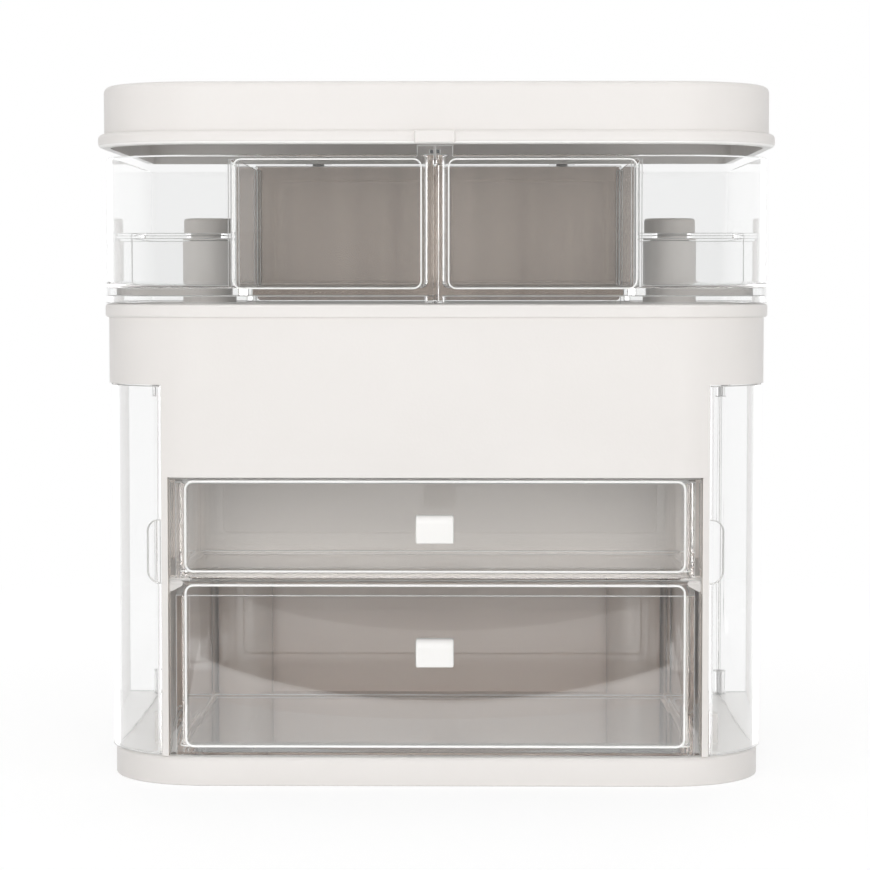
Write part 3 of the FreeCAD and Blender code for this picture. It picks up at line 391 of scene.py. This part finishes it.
for material, names in (
        (WHITE, ["bottom_cover", "upper_housing", *both("drawer_runner")]),
        (LID_WHITE, ["lid_shell"]),
        (BASE_WHITE, ["base_shell"]),
        (FRAME_WHITE, ["lower_frame"]),
        (PULL_WHITE, ["top_pull", "lower_pull"]),
        (CLEAR, ["top_drawer", "lower_drawer", "tower_bin", *both("wing_tray", "wing_divider")]),
        (DOOR_CLEAR, both("side_door", "side_back")),
        (MIRROR, ["mirror_plate"]),
        (POST_PAINTED_LIGHT, both("pivot_post")),
        (CAP_PAINTED_SHADE, both("pivot_cap")),
        (STEEL, ["base_screws", "pivot_cap_screws",
                 *both("hinge_bracket", "lid_leaf", "lid_hinge_pin", "door_pins")]),
        (MAGNET, both("catch_magnet"))):
    for name in names:
        finish_node(name, material)


# Pieces that follow the mouldings: beads of painted highlight, lines of painted edge shade, and rivets

def finish_tree(tree, given, result, geometry):
    """Ends a tree in plain geometry that wears its finish."""
    real = add_node(tree, "GeometryNodeRealizeInstances", inputs={"Geometry": geometry})
    finished = add_node(tree, "GeometryNodeSetMaterial", inputs={
        "Geometry": real.outputs["Geometry"], "Material": given["Finish"]})
    tree.links.new(finished.outputs["Geometry"], result.inputs["Geometry"])


def round_sweep(tree, curve, radius, sides, capped):
    """Sweeps a round section along curves."""
    section = add_node(tree, "GeometryNodeCurvePrimitiveCircle", inputs={"Resolution": sides, "Radius": radius})
    swept = add_node(tree, "GeometryNodeCurveToMesh", inputs={
        "Curve": curve, "Profile Curve": section.outputs["Curve"], "Fill Caps": capped})
    return swept.outputs["Mesh"]


def bead_tree():
    """Draws a rounded rectangle, turns it into place, sweeps a round section along it and gives it its finish."""
    tree, given, result = new_group(
        "panel_bead", "GeometryNodeTree",
        [("Width", "Float"), ("Height", "Float"), ("Corner", "Float"), ("Thickness", "Float"),
         ("Place", "Vector"), ("Turn", "Vector"), ("Finish", "Material")],
        [("Geometry", "Geometry")])
    given = given.outputs
    outline = add_node(tree, "GeometryNodeCurvePrimitiveQuadrilateral", inputs={
        "Width": given["Width"], "Height": given["Height"]})
    eased = add_node(tree, "GeometryNodeFilletCurve", mode="POLY", inputs={
        "Curve": outline.outputs["Curve"], "Count": 6, "Radius": given["Corner"]})
    placed = add_node(tree, "GeometryNodeTransform", inputs={
        "Geometry": eased.outputs["Curve"], "Rotation": given["Turn"], "Translation": given["Place"]})
    bead = round_sweep(tree, placed.outputs["Geometry"], given["Thickness"], sides=10, capped=False)
    finish_tree(tree, given, result, bead)
    return tree


def rivet_tree():
    """Sets a row or a field of domed heads upright, Across by Up, and gives them their finish."""
    tree, given, result = new_group(
        "rivet_field", "GeometryNodeTree",
        [("Across", "Int"), ("Up", "Int"), ("Width", "Float"), ("Height", "Float"), ("Radius", "Float"),
         ("Dome", "Vector"), ("Place", "Vector"), ("Finish", "Material")],
        [("Geometry", "Geometry")])
    given = given.outputs
    field = add_node(tree, "GeometryNodeMeshGrid", inputs={
        "Size X": given["Width"], "Size Y": given["Height"],
        "Vertices X": given["Across"], "Vertices Y": given["Up"]})
    upright = add_node(tree, "GeometryNodeTransform", inputs={
        "Geometry": field.outputs["Mesh"], "Rotation": UPRIGHT, "Translation": given["Place"]})
    head = add_node(tree, "GeometryNodeMeshUVSphere", inputs={
        "Segments": 20, "Rings": 10, "Radius": given["Radius"]})
    heads = add_node(tree, "GeometryNodeInstanceOnPoints", inputs={
        "Points": upright.outputs["Geometry"], "Instance": head.outputs["Mesh"], "Scale": given["Dome"]})
    finish_tree(tree, given, result, heads.outputs["Instances"])
    return tree


def edge_tree():
    """Draws a fine line along every edge of a clear moulding that is turned more sharply than a given angle."""
    tree, given, result = new_group(
        "edge_lines", "GeometryNodeTree",
        [("Geometry", "Geometry"), ("Sharper Than", "Float"), ("Thickness", "Float"), ("Finish", "Material")],
        [("Geometry", "Geometry")])
    given = given.outputs
    angle = tree.nodes.new("GeometryNodeInputMeshEdgeAngle").outputs["Unsigned Angle"]
    sharp = add_node(tree, "FunctionNodeCompare", data_type="FLOAT", operation="GREATER_THAN",
                     inputs={0: angle, 1: given["Sharper Than"]})
    lines = add_node(tree, "GeometryNodeMeshToCurve", inputs={
        "Mesh": given["Geometry"], "Selection": sharp.outputs["Result"]})
    swept = round_sweep(tree, lines.outputs["Curve"], given["Thickness"], sides=6, capped=True)
    finish_tree(tree, given, result, swept)
    return tree


def joined(name, *parts):
    """One mesh of merged copies of CAD nodes."""
    mesh = bpy.data.meshes.new(name)
    shape = bmesh.new()
    for part in parts:
        shape.from_mesh(nodes[part].data)
    bmesh.ops.remove_doubles(shape, verts=shape.verts, dist=MERGE)
    shape.to_mesh(mesh)
    shape.free()
    return mesh


def grow(name, tree, body, slot, finish, start=None, **sizes):
    """Runs a tree with its sizes by name and keeps the result as a plain mesh that rides on a body."""
    seed = bpy.data.objects.new(f"{name}_seed", start or bpy.data.meshes.new(f"{name}_seed"))
    scene.collection.objects.link(seed)
    run = seed.modifiers.new("tree", "NODES")
    run.node_group = tree
    sockets = {item.name: item.identifier for item in tree.interface.items_tree if item.in_out == "INPUT"}
    for label, value in {**sizes, "Finish": finish}.items():
        run[sockets[label]] = value
    mesh = bpy.data.meshes.new_from_object(seed.evaluated_get(bpy.context.evaluated_depsgraph_get()))
    seed.modifiers.remove(run)
    bpy.data.objects.remove(seed)
    piece = bpy.data.objects.new(name, mesh)
    scene.collection.objects.link(piece)
    mesh.polygons.foreach_set("use_smooth", [True] * len(mesh.polygons))
    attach(piece, body)


UPRIGHT = (math.radians(90), 0.0, 0.0)
MERGE = 0.01 * MM
PANEL_BEAD = bead_tree()
RIVETS = rivet_tree()
EDGES = edge_tree()

BEAD_CORNER = 3.5 * MM
# Front beads of the drawers, painted highlights: in from the sides, back from the face, and their radius
FRONT_INSET, FRONT_DEPTH, FRONT_RADIUS = 7.6 * MM, 1.3 * MM, 0.55 * MM
# How far each drawer's front bead stays above its lower edge and below its upper one
FRONT_DROPS = {"top": (3.2 * MM, 1.3 * MM), "lower": (4.2 * MM, 2.0 * MM)}
# Floor beads: in from the front, the back and the sides, up from the floor, and their radius
FLOOR_FRONT, FLOOR_BACK, FLOOR_SIDE = 3.5 * MM, 2.0 * MM, 5.1 * MM
FLOOR_LIFT, FLOOR_RADIUS = 0.5 * MM, 0.35 * MM
# Tray beads: from the middle, past the divider, up from the tray's foot, back from its face, and their radius
TRAY_NEAR, TRAY_FAR, TRAY_FOOT, TRAY_DEPTH, TRAY_RADIUS = 6.2 * MM, 1.0 * MM, 6.6 * MM, 0.9 * MM, 0.4 * MM
RIVET_RADIUS, RIVET_DOME = 1.5 * MM, (1.0, 0.45, 1.0)
# Bracket rivets: their spacing upwards, their middle above the bracket's foot, and the strap that they sit on
BRACKET_SPACING, BRACKET_MIDDLE, BRACKET_STRAP = 12 * MM, 10 * MM, 6 * MM
# Leaf rivets: below the leaf's top, and the plate that they sit on
LEAF_DROP, LEAF_PLATE = 3.2 * MM, 1 * MM
EDGE_ANGLE, EDGE_RADIUS = math.radians(40), 0.17 * MM


def height_at(node, x, y):
    """The height of a node's upper face over a point, below its rim."""
    above = Vector((x, y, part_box(node)[1].z + 10 * MM))
    _, place, _, _ = nodes[node].ray_cast(above, Vector((0, 0, -1)))
    return place.z


def drawer_beads():
    for label, (low_drop, top_drop) in FRONT_DROPS.items():
        low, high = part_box(f"{label}_drawer")
        bottom, top = low.z + low_drop, high.z - top_drop
        grow(f"{label}_drawer_bead", PANEL_BEAD, f"drawer_{label}", "clear_plastic", GLINT_BEAD_WHITE,
             Width=high.x - low.x - 2 * FRONT_INSET, Height=top - bottom, Corner=BEAD_CORNER,
             Thickness=FRONT_RADIUS, Place=(0.0, low.y + FRONT_DEPTH, (bottom + top) / 2), Turn=UPRIGHT)
        floor = height_at(f"{label}_drawer", 0.0, (low.y + high.y) / 2)
        front, back = low.y + FLOOR_FRONT, high.y - FLOOR_BACK
        grow(f"{label}_drawer_floor_bead", PANEL_BEAD, f"drawer_{label}", "clear_plastic", GLINT_BEAD_WHITE,
             Width=high.x - low.x - 2 * FLOOR_SIDE, Height=back - front, Corner=BEAD_CORNER,
             Thickness=FLOOR_RADIUS, Place=(0.0, (front + back) / 2, floor + FLOOR_LIFT))


def tray_beads():
    for side, sign in zip(SIDES, (-1, 1)):
        low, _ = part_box(f"wing_tray_{side}")
        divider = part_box(f"wing_divider_{side}")
        far = max(abs(divider[0].x), abs(divider[1].x)) - TRAY_FAR
        bottom, top = low.z + TRAY_FOOT, divider[1].z
        grow(f"wing_tray_bead_{side}", PANEL_BEAD, f"wing_{side}", "clear_plastic", GLINT_BEAD_WHITE,
             Width=far - TRAY_NEAR, Height=top - bottom, Corner=BEAD_CORNER, Thickness=TRAY_RADIUS,
             Place=(sign * (far + TRAY_NEAR) / 2, low.y + TRAY_DEPTH, (bottom + top) / 2), Turn=UPRIGHT)


def clear_edges():
    """Fine grey lines along the cut edges of the clear mouldings: painted shade for how those edges bend light.
    """
    groups = {"case": ("tower_bin", "side_back_left", "side_back_right"),
              "drawer_top": ("top_drawer",), "drawer_lower": ("lower_drawer",)}
    for side in SIDES:
        groups[f"wing_{side}"] = (f"wing_tray_{side}", f"wing_divider_{side}")
        groups[f"door_{side}"] = (f"side_door_{side}",)
    for body, parts in groups.items():
        grow(f"{body}_edge_lines", EDGES, body, "clear_plastic", EDGE_PAINTED_SHADE, start=joined(f"{body}_clear", *parts),
             **{"Sharper Than": EDGE_ANGLE, "Thickness": EDGE_RADIUS})


def face_behind(node, low, high):
    """How far back a node reaches between two heights."""
    return max(v.co.y for v in nodes[node].data.vertices if low <= v.co.z <= high)


def hinge_rivets():
    bracket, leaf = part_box("hinge_bracket_right"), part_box("lid_leaf_right")
    apart = bracket[0].x + bracket[1].x
    foot, top = bracket[0].z, leaf[1].z
    strap = face_behind("hinge_bracket_right", foot, foot + BRACKET_STRAP)
    grow("bracket_rivets", RIVETS, "case", "steel", STEEL, Across=2, Up=2, Width=apart, Height=BRACKET_SPACING,
         Radius=RIVET_RADIUS, Dome=RIVET_DOME, Place=(0.0, strap, foot + BRACKET_MIDDLE))
    plate = face_behind("lid_leaf_right", top - LEAF_PLATE, top)
    grow("leaf_rivets", RIVETS, "lid", "steel", STEEL, Across=2, Up=1, Width=apart, Height=0.0,
         Radius=RIVET_RADIUS, Dome=RIVET_DOME, Place=(0.0, plate, top - LEAF_DROP))


drawer_beads()
tray_beads()
clear_edges()
hinge_rivets()


# Studio

FLOOR_REACH = 6.0
# Near the object the floor shows its shadow, and over this span it turns into plain white.
WHITE_SPAN = (0.3, 0.8)
NEAR_SHARE = 0.7
# Makes up for the light that the floor's shadowed share lacks, so that it comes out white.
SWEEP_WHITE = 1.11
# The sweep ends in a curve in front of the object, y = nearest - bow * x * x, and the room beyond it is dim.
SWEEP_NEAREST, SWEEP_BOW = -0.356, 8.1
DIM_ROOM = 0.42
ROOM_LIGHT = 0.29
# Directions between these turn from the white room to the dim one.
ROOM_AHEAD = (-0.15, -0.5)

# Name, place, aim, width, height, power, and whether glossy faces show it
SOFTBOXES = (
    ("front_softbox", (0.0, -1.95, 0.45), (0, 0, 0.14), 1.5, 0.8, 15.2, False),
    ("high_softbox", (0.0, -1.4, 1.35), (0, 0, 0.12), 1.4, 0.8, 4.5, True),
    ("top_softbox", (0.0, -0.1, 1.9), (0, 0, 0.2), 1.4, 1.4, 8.0, False),
    ("back_softbox", (0.0, 1.9, 0.7), (0, 0, 0.15), 1.4, 0.8, 16.0, False),
    ("side_softbox", (-1.5, -0.75, 0.55), (0, 0, 0.12), 0.9, 0.9, 4.6, False),
    ("side_softbox", (1.5, -0.75, 0.55), (0, 0, 0.12), 0.9, 0.9, 4.6, False),
)
LOW_SOFTBOX = ("low_softbox", (0.0, -0.36, 0.002), (0, -0.36, 1), 0.4, 0.48, 1.1, True)

CAMERA_LENS = 115.86
CAMERA_PLACE = (0.0164, -1.371, 0.2284)
CAMERA_DIP, CAMERA_TURN = math.radians(3.07), math.radians(0.74)


def seen_directly(tree, path):
    """1 for rays that show the backdrop: straight, mirrored or through clear plastic."""
    return any_of(tree, path["Is Camera Ray"], path["Is Glossy Ray"], path["Is Transmission Ray"])


def mirrored_before(tree, path):
    """1 for rays that a glossy face has thrown back on their way."""
    return calc(tree, "GREATER_THAN", path["Glossy Depth"], 0.5)


def past_sweep(tree, place):
    """1 where the floor lies beyond the curved end of the sweep."""
    x, y, _ = split(tree, place)
    bowed = calc(tree, "MULTIPLY_ADD", calc(tree, "MULTIPLY", x, x), SWEEP_BOW, y)
    return calc(tree, "LESS_THAN", bowed, SWEEP_NEAREST)


def studio_floor():
    """A wide floor that keeps the object's shadow and shows white around it."""
    mesh = bpy.data.meshes.new("studio_floor")
    far = FLOOR_REACH
    mesh.from_pydata([(-far, -far, 0), (far, -far, 0), (far, far, 0), (-far, far, 0)], [], [(0, 1, 2, 3)])
    floor = bpy.data.objects.new("studio_floor", mesh)
    scene.collection.objects.link(floor)
    material, tree, shader, output = new_material("white_sweep")
    shader.inputs["Base Color"].default_value = (0.9, 0.9, 0.9, 1)
    shader.inputs["Roughness"].default_value = 0.9
    path = tree.nodes.new("ShaderNodeLightPath").outputs
    place = object_place(tree)
    reach = vector_calc(tree, "LENGTH", place)
    share = all_of(tree, seen_directly(tree, path), map_range(tree, reach, NEAR_SHARE, 1.0, *WHITE_SPAN))
    dim = all_of(tree, mirrored_before(tree, path), past_sweep(tree, place))
    level = map_range(tree, dim, map_range(tree, reach, SWEEP_WHITE, 1.0, *WHITE_SPAN), DIM_ROOM)
    glow = add_node(tree, "ShaderNodeEmission", inputs={"Color": (1, 1, 1, 1), "Strength": level})
    mixed = mix_shaders(tree, share, shader.outputs["BSDF"], glow.outputs["Emission"])
    tree.links.new(mixed, output.inputs["Surface"])
    mesh.materials.append(material)


def studio_world():
    """Soft light from all round, with a white backdrop and a dim room in front for what is mirrored."""
    world = bpy.data.worlds.new("white_studio")
    scene.world = world
    world.use_nodes = True
    tree = world.node_tree
    tree.nodes.clear()
    path = tree.nodes.new("ShaderNodeLightPath").outputs
    _, y, _ = split(tree, add_node(tree, "ShaderNodeTexCoord").outputs["Generated"])
    dim = all_of(tree, mirrored_before(tree, path), map_range(tree, y, 0.0, 1.0, *ROOM_AHEAD))
    light, white = (
        add_node(tree, "ShaderNodeBackground", inputs={"Color": (1, 1, 1, 1), "Strength": strength})
        for strength in (ROOM_LIGHT, map_range(tree, dim, 1.0, DIM_ROOM)))
    mixed = mix_shaders(tree, seen_directly(tree, path), light.outputs["Background"], white.outputs["Background"])
    tree.links.new(mixed, tree.nodes.new("ShaderNodeOutputWorld").inputs["Surface"])


def softbox(name, place, aim, width, height, power, mirrored):
    lamp = bpy.data.lights.new(name, "AREA")
    lamp.shape = "RECTANGLE"
    lamp.size = width
    lamp.size_y = height
    lamp.energy = power
    box = bpy.data.objects.new(name, lamp)
    box.location = place
    box.rotation_euler = (Vector(aim) - Vector(place)).to_track_quat("-Z", "Y").to_euler()
    box.visible_glossy = mirrored
    box.visible_transmission = mirrored
    scene.collection.objects.link(box)
    return box


def low_softbox():
    """A faint panel flat on the sweep, up to its curved end, that only glossy faces show."""
    panel = softbox(*LOW_SOFTBOX)
    panel.visible_diffuse = False
    panel.visible_transmission = False
    panel.data.use_nodes = True
    tree = panel.data.node_tree
    glow = next(node for node in tree.nodes if node.type == "EMISSION")
    beyond = past_sweep(tree, add_node(tree, "ShaderNodeNewGeometry").outputs["Position"])
    feed(tree, glow.inputs["Strength"], map_range(tree, beyond, 1.0, 0.0))


def studio_camera():
    lens = bpy.data.cameras.new("front_camera")
    lens.lens = CAMERA_LENS
    lens.clip_start = 0.05
    camera = bpy.data.objects.new("front_camera", lens)
    camera.location = CAMERA_PLACE
    camera.rotation_euler = (math.radians(90) - CAMERA_DIP, 0.0, CAMERA_TURN)
    scene.collection.objects.link(camera)
    scene.camera = camera


studio_floor()
studio_world()
for settings in SOFTBOXES:
    softbox(*settings)
low_softbox()
studio_camera()
